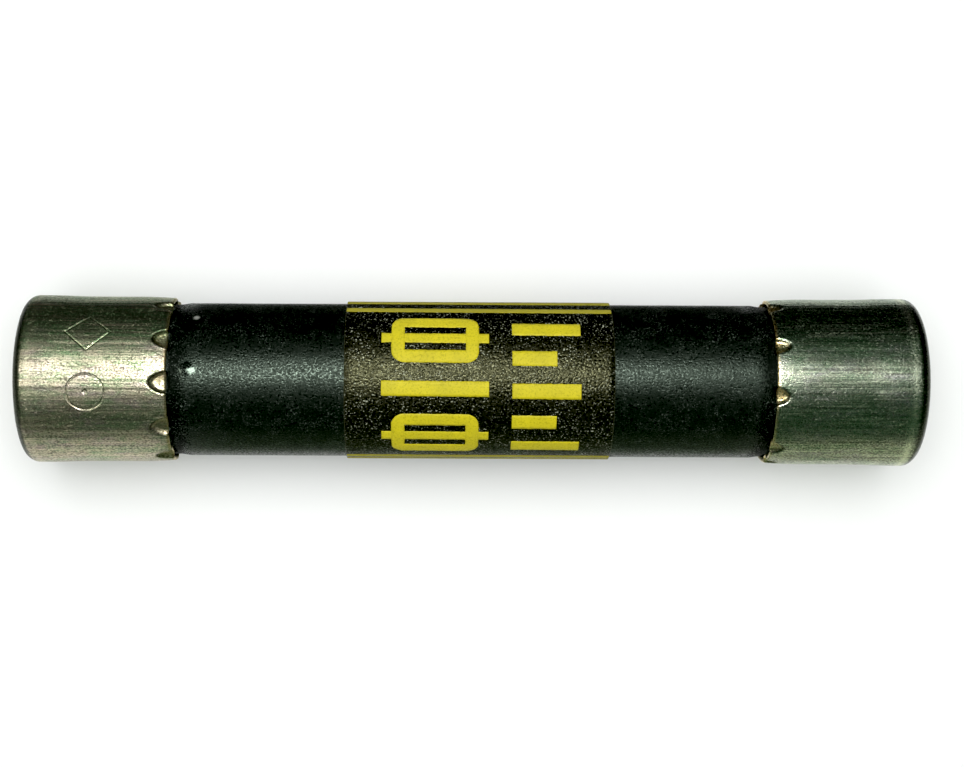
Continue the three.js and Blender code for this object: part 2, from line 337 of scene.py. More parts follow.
def brushed_plate(tree, where, plate, tint, fine_lines, broad_lines, grain):
    """The plate with its draw lines, scratches and grain, each a paler or darker shade of its tint."""
    scratches = stretched_noise(tree, where, (5, 0.085, 0.085), detail=1)
    scratched = stretched_noise(tree, where, (2.5, 0.8, 0.8), detail=2)
    brushed = between(tree, scratched, 0.36, 0.6, 0.4, 1)
    pale_lines = maths(tree, "MULTIPLY", brushed, between(tree, fine_lines, 0.5, 0.66, 0, 0.8))
    dark_lines = maths(tree, "MULTIPLY", brushed, between(tree, fine_lines, 0.5, 0.32, 0, 0.85))
    where_scratched = between(tree, scratched, 0.48, 0.6)
    scratch = maths(tree, "MULTIPLY", between(tree, scratches, 0.6, 0.7), where_scratched)
    marks = (
        (between(tree, broad_lines, 0.52, 0.7, 0, 0.6), 0.4),
        (pale_lines, 1.8),
        (dark_lines, 0.3),
        (maths(tree, "MULTIPLY", scratch, 0.8), 2.0),
        (between(tree, grain, 0.52, 0.7, 0, 0.75), 0.25),
        (between(tree, grain, 0.48, 0.3, 0, 0.5), 1.8),
    )
    for share, brightness in marks:
        plate = blend(tree, share, plate, shade(tint, brightness))
    return plate


def worn_plate(tree, where, plate, tint):
    """The plate with what the mesh stores: its end face, a pale ring of painted reflection, a dark rounded
    edge of painted reflection, brass, and painted shade in the crimps.
    """
    # The pale ring is a painted reflection, and the dark rounded edge is a painted dark reflection
    marks = (
        ("closed_face", 0.6, shade(tint, 0.9)),
        ("painted_sheen_ring", 0.8, shade(tint, 1.9)),
        ("painted_dark_edge", 0.93, EDGE_DARK_REFLECTION),
    )
    for name, strength, colour in marks:
        share = maths(tree, "MULTIPLY", stored(tree, name), strength)
        plate = blend(tree, share, plate, colour)
    wear = stretched_noise(tree, where, (1.5, 1.3, 1.3), detail=2)
    patchy = between(tree, wear, 0.42, 0.58, 0.4, 1)
    plate = blend(tree, maths(tree, "MULTIPLY", stored(tree, "worn"), patchy), plate, BRASS)
    # Painted shade on the walls of the crimps
    return blend(tree, stored(tree, "painted_crimp_shade"), plate, CRIMP_WALL_SHADE)


def nickel_material(name, tint, patina, roughness):
    """Dulled nickel plate over brass, drawn along the cap. Roughness is its lowest and highest value."""
    material, tree, shader = new_material(name)
    where = place(tree)
    fine_lines = stretched_noise(tree, where, (6, 0.055, 0.055), detail=2, roughness=0.6)
    broad_lines = stretched_noise(tree, where, (12, 0.25, 0.25), detail=4, roughness=0.6)
    grain = stretched_noise(tree, where, (0.075, 0.055, 0.055), detail=0.6)
    plate = stained_plate(tree, where, tint, patina)
    plate = brushed_plate(tree, where, plate, tint, fine_lines, broad_lines, grain)
    feed(tree, shader.inputs["Base Color"], worn_plate(tree, where, plate, tint))

    pits = stretched_noise(tree, where, (0.06, 0.05, 0.05), detail=0)
    even = between(tree, grain, 0.3, 0.7, *roughness)
    dull = maths(tree, "MULTIPLY", between(tree, pits, 0.6, 0.74), 0.3)
    feed(tree, shader.inputs["Roughness"], maths(tree, "ADD", even, dull))
    feed(tree, shader.inputs["Metallic"], 1.0)
    lines_bump = bump(tree, fine_lines, 0.003, 0.7)
    broad_bump = bump(tree, broad_lines, 0.008, 0.5, lines_bump)
    feed(tree, shader.inputs["Normal"], bump(tree, grain, 0.008, 0.8, broad_bump))
    return material


def fibre_colour(tree, where, streaks):
    """Black fibre with faint streaks, dust that gathers in its scuffs, and a pale spot."""
    grit = stretched_noise(tree, where, (0.05, 0.05, 0.05), detail=1, roughness=0.6)
    scuffs = stretched_noise(tree, where, (0.7, 0.5, 0.5), detail=4)
    streaked = between(tree, streaks, 0.4, 0.7)
    black = blend(tree, streaked, (0.0004, 0.0006, 0.0004), (0.0022, 0.0034, 0.0022))
    gathered = between(tree, scuffs, 0.4, 0.65, 0.15, 1)
    dust = maths(tree, "MULTIPLY", between(tree, grit, 0.6, 0.72), gathered)
    dusty = blend(tree, dust, black, (0.11, 0.13, 0.11))
    return blend(tree, stored(tree, "spot"), dusty, (0.24, 0.24, 0.22))


def tube_material(name, specular, low_roughness, high_roughness):
    """Black bonded fibre with fine streaks round the tube. It is smoother and evener on the bead."""
    material, tree, shader = new_material(name)
    where = place(tree)
    streaks = stretched_noise(tree, where, (0.06, 0.7, 0.7), detail=3, roughness=0.7)
    speckle = stretched_noise(tree, where, (0.07, 0.06, 0.06), detail=0.5)
    feed(tree, shader.inputs["Base Color"], fibre_colour(tree, where, streaks))
    bead = stored(tree, "bead")
    uneven = between(tree, speckle, 0.35, 0.65, low_roughness, high_roughness)
    smooth_share = between(tree, bead, 0, 1, 1, 0.3)
    feed(tree, shader.inputs["Roughness"], maths(tree, "MULTIPLY", uneven, smooth_share))
    feed(tree, shader.inputs["Anisotropic"], 0.6)
    feed(tree, shader.inputs["Anisotropic Rotation"], 0.25)
    feed(tree, shader.inputs["Specular IOR Level"], specular)
    feed(tree, shader.inputs["Specular Tint"], (0.8, 1.0, 0.76, 1))
    around = node(tree, "Tangent", direction_type="RADIAL", axis="X").outputs["Tangent"]
    feed(tree, shader.inputs["Tangent"], around)
    relief = bump(tree, streaks, 0.005, 0.6)
    relief_share = between(tree, bead, 0, 1, 1, 0.1)
    feed(tree, shader.inputs["Normal"], bump(tree, speckle, 0.014, relief_share, relief))
    return material


def paper_material():
    """Paper flooded with black ink: rough and faintly sparkling, with pale fibres and raw cut edges."""
    material, tree, shader = new_material("black_paper")
    where = place(tree)
    fibre = stretched_noise(tree, where, (0.075, 0.07, 0.07), detail=0.7)
    flecks = stretched_noise(tree, where, (0.055, 0.052, 0.052), detail=0.5)
    patches = stretched_noise(tree, where, (0.9, 0.7, 0.7), detail=3)
    fibrous = between(tree, fibre, 0.4, 0.7)
    ink = blend(tree, fibrous, (0.0004, 0.0004, 0.0002), (0.003, 0.0034, 0.0015))
    patchy = between(tree, patches, 0.4, 0.62, 0.3, 1)
    pale = maths(tree, "MULTIPLY", between(tree, flecks, 0.65, 0.74), patchy)
    ink = blend(tree, pale, ink, (0.42, 0.44, 0.34))
    colour = blend(tree, stored(tree, "cut_edge"), ink, (0.12, 0.12, 0.055))
    feed(tree, shader.inputs["Base Color"], colour)
    feed(tree, shader.inputs["Roughness"], between(tree, fibre, 0.35, 0.65, 0.2, 0.48))
    feed(tree, shader.inputs["Specular IOR Level"], 0.36)
    feed(tree, shader.inputs["Specular Tint"], (1.0, 0.99, 0.5, 1))
    feed(tree, shader.inputs["Normal"], bump(tree, fibre, 0.025, 1.0))
    return material


def ink_material():
    """Yellow printing ink, slightly uneven, with the paper's grain showing through. The rules get painted
    shade.
    """
    material, tree, shader = new_material("yellow_ink")
    where = place(tree)
    grain = stretched_noise(tree, where, (0.07, 0.07, 0.07), detail=2, roughness=0.7)
    uneven = stretched_noise(tree, where, (0.7, 0.7, 0.7), detail=3)
    yellow = blend(tree, between(tree, uneven, 0.35, 0.7), (0.6, 0.51, 0.014), (0.52, 0.445, 0.016))
    yellow = blend(tree, between(tree, grain, 0.5, 0.7, 0, 0.6), yellow, (0.27, 0.235, 0.006))
    # Painted shade: the rules along the label's sides are coloured darker
    colour = blend(tree, stored(tree, "painted_rule_shade"), yellow, (0.35, 0.305, 0.02))
    feed(tree, shader.inputs["Base Color"], colour)
    feed(tree, shader.inputs["Roughness"], between(tree, grain, 0.3, 0.7, 0.5, 0.7))
    feed(tree, shader.inputs["Specular IOR Level"], 0.2)
    feed(tree, shader.inputs["Normal"], bump(tree, grain, 0.012, 0.6))
    return material


def grainy_material(name, light, dark, size, roughness, metallic=0.0, relief=0.02):
    """A plain grainy solid, for the pieces inside the fuse."""
    material, tree, shader = new_material(name)
    where = place(tree)
    grain = stretched_noise(tree, where, (size, size, size), detail=4, roughness=0.65)
    feed(tree, shader.inputs["Base Color"], blend(tree, between(tree, grain, 0.35, 0.68), light, dark))
    feed(tree, shader.inputs["Roughness"], between(tree, grain, 0.3, 0.7, roughness * 0.8, roughness))
    feed(tree, shader.inputs["Metallic"], metallic)
    feed(tree, shader.inputs["Normal"], bump(tree, grain, relief, 0.7))
    return material


def floor_material():
    """Pale matt studio floor."""
    material, tree, shader = new_material("pale_floor")
    where = place(tree)
    mottle = stretched_noise(tree, where, (25, 25, 25), detail=3)
    feed(tree, shader.inputs["Base Color"], blend(tree, mottle, (0.9, 0.9, 0.9), (0.87, 0.87, 0.865)))
    feed(tree, shader.inputs["Roughness"], 0.9)
    return material


# ------------------------------------------------------------------ crimps


def uneven_crimps(side):
    """(angle, depth, reach, half width) of each crimp round one rim, left a little uneven by the press."""
    draw = random.Random(CRIMP_SEED[side])
    crimps = []
    for k in range(CRIMPS_PER_CAP):
        angle = FIRST_CRIMP_ANGLE[side] + k * CRIMP_PITCH + draw.uniform(-2, 2)
        angle -= CRIMP_BUNCHING[side] * math.sin(math.radians(angle))
        if side == RIGHT and k == LATE_CRIMP:
            angle += LATE_CRIMP_SHIFT
        depth = CRIMP_DEPTH * draw.uniform(0.7, 1.05)
        reach = CRIMP_REACH * CRIMP_SIZE[side] * draw.uniform(0.9, 1.1)
        half_width = CRIMP_HALF_WIDTH * CRIMP_SIZE[side] * draw.uniform(0.9, 1.1)
        crimps.append((angle, depth, reach, half_width))
    return crimps


CRIMPS = {side: uneven_crimps(side) for side in (LEFT, RIGHT)}


def pressed_in(from_rim, angle, side):
    """How far one cap's crimps press the metal in at a distance inside the rim and an angle. Each is an arch
    with a steep wall, round a floor that slopes down to the rim."""
    floor_share = CRIMP_FLOOR_SHARE[side]
    dent = np.zeros(np.broadcast(from_rim, angle).shape)
    for crimp_angle, depth, reach, half_width in CRIMPS[side]:
        offset = (angle - crimp_angle + 180) % 360 - 180
        across = np.radians(offset) * CAP_RIM_RADIUS / half_width
        along = np.clip(from_rim / reach, 0, 1)
        far = (along**1.5 + np.abs(across) ** 1.8) ** 0.6
        wall = smoothstep((1 - far) / CRIMP_WALL_SHARE)
        hollow = 1 - CRIMP_HOLLOW_SHARE * np.minimum(across**2, 1)
        scoop = depth * hollow * (floor_share + (1 - floor_share) * (1 - along)) * wall
        lip = CRIMP_LIP_HEIGHT * np.exp(-(((far - CRIMP_LIP_PLACE) / CRIMP_LIP_WIDTH) ** 2))
        dent = np.where(far < 1, np.maximum(dent, scoop), dent - lip)
    return dent


# ------------------------------------------------------------------ stamped marks

STAMP_GROOVE_DEPTH = 0.028 * MM
STAMP_GROOVE_WIDTH = 0.045 * MM
STAMP_START, STAMP_END = 1.7 * MM, 3.6 * MM
STAMP_START_ANGLE, STAMP_END_ANGLE = -28, 76
STAMP_X = -END_X + 2.62 * MM
STAMP_DIAMOND_ANGLE = 33
STAMP_DIAMOND_HALF = (0.8 * MM, 0.72 * MM)
STAMP_RING_ANGLE = -9
STAMP_RING_RADIUS = 0.66 * MM
STAMP_DOT_RADIUS = 0.06 * MM


def stamp_depth(x, angle):
    """Depth of the stamped outlines on the left cap: a plain diamond, and a ring round a dot."""
    across = x - STAMP_X
    around = np.radians(angle - STAMP_DIAMOND_ANGLE) * CAP_RADIUS
    half_x, half_arc = STAMP_DIAMOND_HALF
    beyond = np.abs(across) / half_x + np.abs(around) / half_arc - 1
    to_diamond = np.abs(beyond) * half_x * half_arc / math.hypot(half_x, half_arc)
    ring_around = np.radians(angle - STAMP_RING_ANGLE) * CAP_RADIUS
    to_center = np.hypot(across, ring_around)
    to_ring = np.abs(to_center - STAMP_RING_RADIUS)
    to_dot = np.maximum(to_center - STAMP_DOT_RADIUS, 0)
    nearest = np.minimum(to_diamond, np.minimum(to_ring, to_dot))
    return STAMP_GROOVE_DEPTH * (1 - smoothstep(nearest / STAMP_GROOVE_WIDTH))


# ------------------------------------------------------------------ end caps

# Each cap's plate: its tint, the colour of its patina, which also paints shade toward +Y, and its lowest and
# highest roughness
CAP_PLATE = {
    LEFT: ((0.392, 0.35, 0.24), (0.175, 0.305, 0.14), (0.33, 0.47)),
    RIGHT: ((0.405, 0.425, 0.308), (0.152, 0.262, 0.142), (0.22, 0.35)),
}
# How far the painted dark reflection on each cap's rounded edge reaches from the closed end, and how softly
# it stops there and toward the middle of the end face
CORNER_DARK_REFLECTION = {LEFT: 0.36 * MM, RIGHT: 0.44 * MM}
CORNER_DARK_REFLECTION_FADE = 0.13 * MM
FACE_DARK_REFLECTION_FADE = 0.1 * MM
# How much brass shows at each cap's rim and in its crimps, which is most where they are deep
RIM_WEAR = {LEFT: 0.3, RIGHT: 0.6}
RIM_WEAR_LENGTH = 0.03 * MM
RIM_WEAR_FADE = 0.1 * MM
CRIMP_WEAR = {LEFT: 0.15, RIGHT: 0.68}
CRIMP_WEAR_DEPTH = 0.15 * MM
# Painted shade lies half way up the walls of the crimps, which end at this depth
CRIMP_SHADE_STRENGTH = 0.85
SHADED_WALL_DEPTH = 0.075 * MM
# How brightly a painted reflection lightens the plate in a ring near each cap's closed end
PAINTED_SHEEN = {LEFT: 0.25, RIGHT: 1}
PAINTED_SHEEN_PLACE = 0.6 * MM
PAINTED_SHEEN_WIDTH = 0.12 * MM


def cap_radius(depth):
    """Outer radius of the cap's wall at a distance from its closed end."""
    step_down = CAP_STEP_DOWN * smoothstep((depth - CAP_STEP_START) / CAP_STEP_LENGTH)
    turned = np.maximum(0, 1 - (CAP_LENGTH - depth) / CAP_TURN_IN_LENGTH)
    return CAP_RADIUS - step_down - CAP_TURN_IN * turned**2


def wall_rows(side):
    """Distances from the closed end of the rows inside and outside the cap's wall. Those outside are closer
    together by the rim, and under the left cap's stamped marks."""
    coarse = 0.15 * MM
    under_stamp = 0.023 * MM if side == LEFT else coarse
    zone = CAP_LENGTH - CRIMP_ZONE
    lip_start = CAP_LENGTH - RIM_LIP_LENGTH
    inside = [
        spaced(CAP_CORNER_RADIUS, zone, 0.5 * MM),
        spaced(zone, lip_start, 0.09 * MM),
    ]
    outside = [
        spaced(lip_start, zone, 0.035 * MM),
        spaced(zone, STAMP_END, coarse),
        spaced(STAMP_END, STAMP_START, under_stamp),
        spaced(STAMP_START, CAP_CORNER_RADIUS, coarse),
    ]
    return np.concatenate(inside), np.concatenate(outside)


def cap_section(side):
    """Rows of the cap's section as distance from the closed end, radius, and 1 where outside. They run from
    the middle of the inner face, out and round the rim, to the middle of the outer face."""
    corner = CAP_RADIUS - CAP_CORNER_RADIUS
    inner_corner = CAP_CORNER_RADIUS - CAP_WALL
    quarter = spaced(0, math.pi / 2, math.pi / 24)
    half = spaced(0, math.pi, math.pi / 12)
    face = spaced(0.3 * MM, corner, 0.35 * MM)
    wall_inside, wall_outside = wall_rows(side)
    lip_start = CAP_LENGTH - RIM_LIP_LENGTH
    lip_middle = cap_radius(lip_start) - CAP_WALL / 2
    parts = [
        (np.full_like(face, CAP_WALL), face, 0),
        (CAP_CORNER_RADIUS - inner_corner * np.cos(quarter), corner + inner_corner * np.sin(quarter), 0),
        (wall_inside, cap_radius(wall_inside) - CAP_WALL, 0),
        (lip_start + RIM_LIP_LENGTH * np.sin(half), lip_middle - CAP_WALL / 2 * np.cos(half), 1),
        (wall_outside, cap_radius(wall_outside), 1),
        (CAP_CORNER_RADIUS * (1 - np.sin(quarter)), corner + CAP_CORNER_RADIUS * np.cos(quarter), 1),
        (np.zeros_like(face), face[::-1], 1),
    ]
    depth = np.concatenate([part[0] for part in parts])
    radius = np.concatenate([part[1] for part in parts])
    outside = np.concatenate([np.full(len(part[0]), part[2]) for part in parts])
    apart = np.hypot(np.diff(depth), np.diff(radius)) > 1e-7
    keep = np.concatenate([[True], apart])
    return [row[keep][:, None] for row in (depth, radius, outside)]


def cap_angles(side):
    """Angles of the points in each row. Those of the left cap are closer together under its stamped marks."""
    if side == RIGHT:
        return np.arange(0, 360, 1.0)
    fine_step, step = 0.37, 1.2
    fine = np.arange(STAMP_START_ANGLE, STAMP_END_ANGLE, fine_step)
    rest = np.arange(fine[-1] + step, fine[0] + 360, step)
    return np.concatenate([fine, rest])


def cap_faces(rows, columns, side):
    """Quads between a cap's rows, and triangles that join its first and last rows to the last two points."""
    faces = grid_faces(rows, columns)
    last_row = (rows - 1) * columns
    inner_middle, outer_middle = rows * columns, rows * columns + 1
    for j in range(columns):
        following = (j + 1) % columns
        faces.append([inner_middle, j, following])
        faces.append([last_row + j, outer_middle, last_row + following])
    return [face[::-1] for face in faces] if side == LEFT else faces


def mark_cap(made, side, section, dent):
    """Stores where the cap is worn, and where its painted shade, painted pale ring and painted dark edge lie,
    for its material to read. The last two points are the middles of its end faces."""
    depth, radius, outside = section
    from_rim = CAP_LENGTH - depth
    in_zone = from_rim < CRIMP_ZONE
    near_rim = 1 - smoothstep((from_rim - RIM_WEAR_LENGTH) / RIM_WEAR_FADE)
    in_crimp = smoothstep(dent / CRIMP_WEAR_DEPTH) * in_zone
    up_wall = np.clip(dent / SHADED_WALL_DEPTH, 0, 1) * in_zone
    ring = np.exp(-(((depth - PAINTED_SHEEN_PLACE) / PAINTED_SHEEN_WIDTH) ** 2))
    corner = smoothstep((CORNER_DARK_REFLECTION[side] - depth) / CORNER_DARK_REFLECTION_FADE)
    on_side = smoothstep((radius - (CAP_RADIUS - CAP_CORNER_RADIUS)) / FACE_DARK_REFLECTION_FADE)
    # Painted light: shade on the crimps' walls, a pale ring of reflection, and a dark rounded edge of
    # reflection
    marks = {
        "worn": np.maximum(RIM_WEAR[side] * near_rim, CRIMP_WEAR[side] * in_crimp),
        "painted_crimp_shade": CRIMP_SHADE_STRENGTH * 4 * up_wall * (1 - up_wall) * outside,
        "painted_sheen_ring": PAINTED_SHEEN[side] * ring * outside,
        "closed_face": (depth < 0.01 * MM) * outside,
        "painted_dark_edge": corner * on_side * outside,
    }
    for name, values in marks.items():
        at_middles = [0, 1 if name == "closed_face" else 0]
        values = np.broadcast_to(values, dent.shape).ravel()
        set_attribute(made, name, np.concatenate([values, at_middles]))


def make_cap(name, side, material):
    """One end cap, with its crimps pressed in and, on the left one, its stamped marks."""
    section = cap_section(side)
    depth, radius, outside = section
    angles = cap_angles(side)
    x = side * (END_X - depth)
    dent = pressed_in(CAP_LENGTH - depth, angles, side)
    if side == LEFT:
        in_stamp = (depth > STAMP_START) * (depth < STAMP_END)
        dent = dent + outside * stamp_depth(x, angles) * in_stamp
    points = wobbled(on_cylinder(x, radius - dent, angles), *CAP_WOBBLE)
    faces = cap_faces(*points.shape[:2], side)
    middles = [[side * (END_X - CAP_WALL), 0, 0], [side * END_X, 0, 0]]
    made = mesh_object(name, np.concatenate([points.reshape(-1, 3), middles]), faces, material)
    mark_cap(made, side, section, dent)
    return made


def make_caps():
    """Both caps."""
    left = make_cap("cap_left", LEFT, nickel_material("nickel_left", *CAP_PLATE[LEFT]))
    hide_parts("end_cap_left")
    right = make_cap("cap_right", RIGHT, nickel_material("nickel_right", *CAP_PLATE[RIGHT]))
    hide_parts("end_cap_right")


# ------------------------------------------------------------------ tube


def tube_rows():
    """Places along the tube's outside, closer together beside the rims."""
    fine_start, fine_end = RIM_X - 1.1 * MM, RIM_X + 0.75 * MM
    half = np.concatenate(
        [
            spaced(0, fine_start, 0.8 * MM),
            spaced(fine_start, fine_end, 0.035 * MM)[1:],
            spaced(fine_end, HALF_TUBE - TUBE_END_BEVEL, 0.8 * MM)[1:],
        ]
    )
    return np.concatenate([-half[:0:-1], half])[:, None]


def distance_on_tube(x, angles, to_x, to_angle):
    """How far points of the tube's side are from a place on it."""
    return np.hypot(x - to_x, np.radians(angles - to_angle) * TUBE_RADIUS)


def bead_height(x, angles):
    """Height of the bead on the tube as a share of its greatest height."""
    return np.exp(-((distance_on_tube(x, angles, BEAD_X, BEAD_ANGLE) / BEAD_RADIUS) ** 2))


def tube_radius(x, angles):
    """Outer radius of the tube: drawn in at its waist beside each rim, and pressed in under each crimp."""
    inside_rim = np.abs(x) - RIM_X
    waist = TUBE_WAIST_DEPTH * (1 - smoothstep((-inside_rim - TUBE_WAIST_START) / TUBE_WAIST_LENGTH))
    radius = TUBE_RADIUS - waist + BEAD_HEIGHT * bead_height(x, angles)
    for side in (LEFT, RIGHT):
        dent = pressed_in(inside_rim, angles, side)
        inner_wall = cap_radius(CAP_LENGTH - inside_rim) - CAP_WALL - dent
        fade = smoothstep(-inside_rim / TUBE_PRESS_FADE)
        pressed = np.minimum(radius, inner_wall - TUBE_RIM_GAP) * (1 - fade) + radius * fade
        radius = np.where(np.sign(x) == side, pressed, radius)
    return radius


def pale_spot(x, angles):
    """1 on the tube's pale spot, fading to 0 at its edge."""
    away = distance_on_tube(x, angles, SPOT_X, SPOT_ANGLE)
    return 1 - smoothstep((away - 0.4 * SPOT_RADIUS) / (0.6 * SPOT_RADIUS))


def dulled(x, angles):
    """1 where the tube is dulled: a ragged band beside each rim, which breaks up into specks."""
    turn = np.radians(angles[0])
    round_tube = np.stack([2 * np.sin(turn), 2 * np.cos(turn)], axis=-1).tolist()
    specks = np.random.default_rng(4).uniform(-1, 1, np.broadcast(x, angles).shape)
    dull = np.zeros(specks.shape, int)
    for side in (LEFT, RIGHT):
        ragged = np.array([noise.noise(Vector((a, b, 2.3 * side))) for a, b in round_tube])
        length = DULL_LENGTH * (1 + DULL_RAGGED_SHARE * ragged)[None, :] + DULL_FADE * specks
        to_rim = RIM_X - side * x
        dull |= (to_rim > 0) & (to_rim < length)
    return dull


def make_tube():
    """The tube, with a duller material on its bands beside the rims."""
    x = tube_rows()
    angles = np.arange(0, 360, 1.0)[None, :]
    outside = wobbled(on_cylinder(x, tube_radius(x, angles), angles), *TUBE_WOBBLE)
    ends = [(HALF_TUBE, TUBE_RADIUS - TUBE_END_BEVEL), (HALF_TUBE, BORE_RADIUS)]
    ends += [(-end_x, radius) for end_x, radius in reversed(ends)]
    closing = [on_cylinder(np.full_like(angles[0], end_x), radius, angles[0]) for end_x, radius in ends]
    points = np.concatenate([outside, np.stack(closing)])
    faces = grid_faces(len(points), angles.shape[1], close_rows=True)
    made = mesh_object("tube", points, faces, tube_material("black_fibre", 0.5, 0.27, 0.65))
    made.data.materials.append(tube_material("dull_fibre", 0.12, 0.55, 0.8))
    plain_ends = np.zeros((len(ends), angles.shape[1]), int)
    bands = np.concatenate([dulled(x, angles), plain_ends])
    made.data.polygons.foreach_set("material_index", bands.ravel())
    bead = smoothstep(bead_height(x, angles) / BEAD_SHINY_SHARE)
    set_attribute(made, "bead", np.concatenate([bead, plain_ends]))
    set_attribute(made, "spot", np.concatenate([pale_spot(x, angles), plain_ends]))
    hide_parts("tube_body")


# ------------------------------------------------------------------ label


def make_label():
    """The wound paper strip: its section is carried round the tube, and its outer end climbs over its inner
    end."""
    low, high = LABEL_X
    bevel = LABEL_EDGE_BEVEL
    between_edges = spaced(low, high, 0.25 * MM)[1:-1]
    out_x = np.concatenate([[low, low + bevel], between_edges, [high - bevel, high]])
    out_height = np.full_like(out_x, LABEL_THICKNESS)
    out_height[[0, -1]] -= bevel
    section_x = np.concatenate([out_x, [high, low]])
    section_height = np.concatenate([out_height, [0, 0]])
    turn = spaced(0, 360 + LABEL_OVERLAP_ANGLE, 0.9)[:, None]
    climbed = np.clip((turn - 360) / LABEL_CLIMB_ANGLE + 1, 0, 1)
    inner = TUBE_RADIUS + LABEL_GAP + climbed * (LABEL_THICKNESS + LABEL_GAP)
    points = on_cylinder(section_x, inner + section_height, LABEL_START_ANGLE + turn)
    rows, columns = points.shape[:2]
    faces = [face[::-1] for face in grid_faces(rows, columns)]
    faces.append(list(range(columns)))
    faces.append([(rows - 1) * columns + j for j in range(columns)][::-1])
    made = mesh_object("label", points, faces, paper_material())
    cut = np.zeros(columns)
    cut[[0, -3, -2, -1]] = 1
    set_attribute(made, "cut_edge", np.tile(cut, rows))
    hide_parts("paper_label")


# ------------------------------------------------------------------ printed marks


def line_path(start, end, step=0.05 * MM):
    """Points of a straight line between two places on the label."""
    count = max(2, math.ceil(math.dist(start, end) / step) + 1)
    return np.linspace(start, end, count)


def box_path(center, half, corner):
    """Points of a rounded rectangle on the label."""
    points = []
    for quarter, (side_x, side_arc) in enumerate(((1, 1), (-1, 1), (-1, -1), (1, -1))):
        middle = np.array(center) + np.array([side_x, side_arc]) * (np.array(half) - corner)
        for turn in spaced(quarter * math.pi / 2, (quarter + 1) * math.pi / 2, math.pi / 16):
            points.append(middle + corner * np.array([math.cos(turn), math.sin(turn)]))
    points.append(points[0])
    dense = [line_path(a, b)[:-1] for a, b in zip(points, points[1:])]
    return np.concatenate(dense)


def path_sides(path, closed):
    """The sideways direction at each point of a path."""
    if closed:
        along = np.roll(path, -1, axis=0) - np.roll(path, 1, axis=0)
    else:
        along = np.gradient(path, axis=0)
    along /= np.linalg.norm(along, axis=1)[:, None]
    return np.stack([-along[:, 1], along[:, 0]], axis=1)


def stroke(path, half_width, closed=False):
    """A raised line of ink along a path, with slightly uneven sides: vertices and faces."""
    ragged = np.array([noise.noise(Vector((a, b, 3.7))) for a, b in path / INK_RAGGED_SIZE])
    width = half_width + INK_RAGGEDNESS * ragged
    off_path = width[:, None] * np.array(INK_SECTION_ACROSS)
    flat = path[:, None, :] + path_sides(path, closed)[:, None, :] * off_path[:, :, None]
    angle = np.degrees((flat[:, :, 1] + flat[:, :, 0] * PRINT_SKEW) / LABEL_RADIUS)
    middle = (LABEL_X[0] + LABEL_X[1]) / 2
    lift = INK_HEIGHT * np.array(INK_SECTION_LIFT)
    points = on_cylinder(middle + flat[:, :, 0], LABEL_RADIUS + lift, angle)
    rows, columns = points.shape[:2]
    faces = grid_faces(rows, columns, close_rows=closed)
    if not closed:
        faces.append(list(range(columns))[::-1])
        faces.append([(rows - 1) * columns + j for j in range(columns)])
    return points.reshape(-1, 3), faces


def bar(start_x, end_x, arc, width):
    """A straight bar of ink along the label."""
    return stroke(line_path((start_x, arc), (end_x, arc)), width / 2)


def join_strokes(name, strokes, material):
    """All strokes of one colour as one piece."""
    points = []
    faces = []
    for stroke_points, stroke_faces in strokes:
        shift = sum(len(p) for p in points)
        points.append(stroke_points)
        faces += [[shift + i for i in face] for face in stroke_faces]
    made = mesh_object(name, np.concatenate(points), faces, material)
    return made


def symbol_column():
    """Left column of the panel: two bold fuse symbols, each a box with a line through it, and a bar between
    them."""
    middle_x = -1.57 * MM
    low_x, high_x = middle_x - 1.91 * MM, middle_x + 1.91 * MM
    box_half = (1.32 * MM, 0.71 * MM)
    box_corner = 0.22 * MM
    strokes = []
    for arc in (1.56 * MM, -2.19 * MM):
        box = box_path((middle_x, arc), box_half, box_corner)
        strokes.append(stroke(box, SYMBOL_STROKE / 2, closed=True))
        strokes.append(bar(low_x, high_x, arc, SYMBOL_LINE_SHARE * SYMBOL_STROKE))
    strokes.append(bar(low_x, high_x, -0.315 * MM, INK_STROKE))
    return strokes


def bar_column():
    """Right column of the panel: plain bars, long and short by turns, where a label carries its wording."""
    low_x, long_x, short_x = 1.16 * MM, 3.6 * MM, 2.75 * MM
    strokes = []
    for k, arc in enumerate(np.linspace(1.98, -2.73, 5) * MM):
        strokes.append(bar(low_x, short_x if k % 2 else long_x, arc, INK_STROKE))
    return strokes


def rule_pairs():
    """The double rules along both sides of the panel, each an angle and a width in millimetres."""
    half_label = (LABEL_X[1] - LABEL_X[0]) / 2 - 0.02 * MM
    strokes = []
    for angle, width in ((60.6, 0.3), (77.5, 0.46), (-73, 0.3), (-85, 0.58)):
        arc = math.radians(angle) * LABEL_RADIUS
        line = line_path((-half_label, arc), (half_label, arc), 0.1 * MM)
        strokes.append(stroke(line, width / 2 * MM))
    return strokes


def back_bars():
    """Three thin bars on the back of the label, of these lengths in millimetres."""
    low_x = -3.5
    first_angle, pitch = 124, 11
    strokes = []
    for k, length in enumerate((7.0, 5.2, 7.0)):
        arc = math.radians(first_angle + pitch * k) * LABEL_RADIUS
        strokes.append(bar(low_x * MM, (low_x + length) * MM, arc, 0.2 * MM))
    return strokes


def make_print():
    """Every printed mark on the label. The rules at its edges are coloured darker, a painted shade."""
    marks = symbol_column() + bar_column() + back_bars()
    rules = rule_pairs()
    made = join_strokes("label_print", marks + rules, ink_material())
    # Painted shade: 1 on the rules, 0 on the other marks
    painted_rule_shade = [np.zeros(len(points)) for points, _ in marks] + [np.ones(len(points)) for points, _ in rules]
    set_attribute(made, "painted_rule_shade", np.concatenate(painted_rule_shade))


# ------------------------------------------------------------------ pieces inside


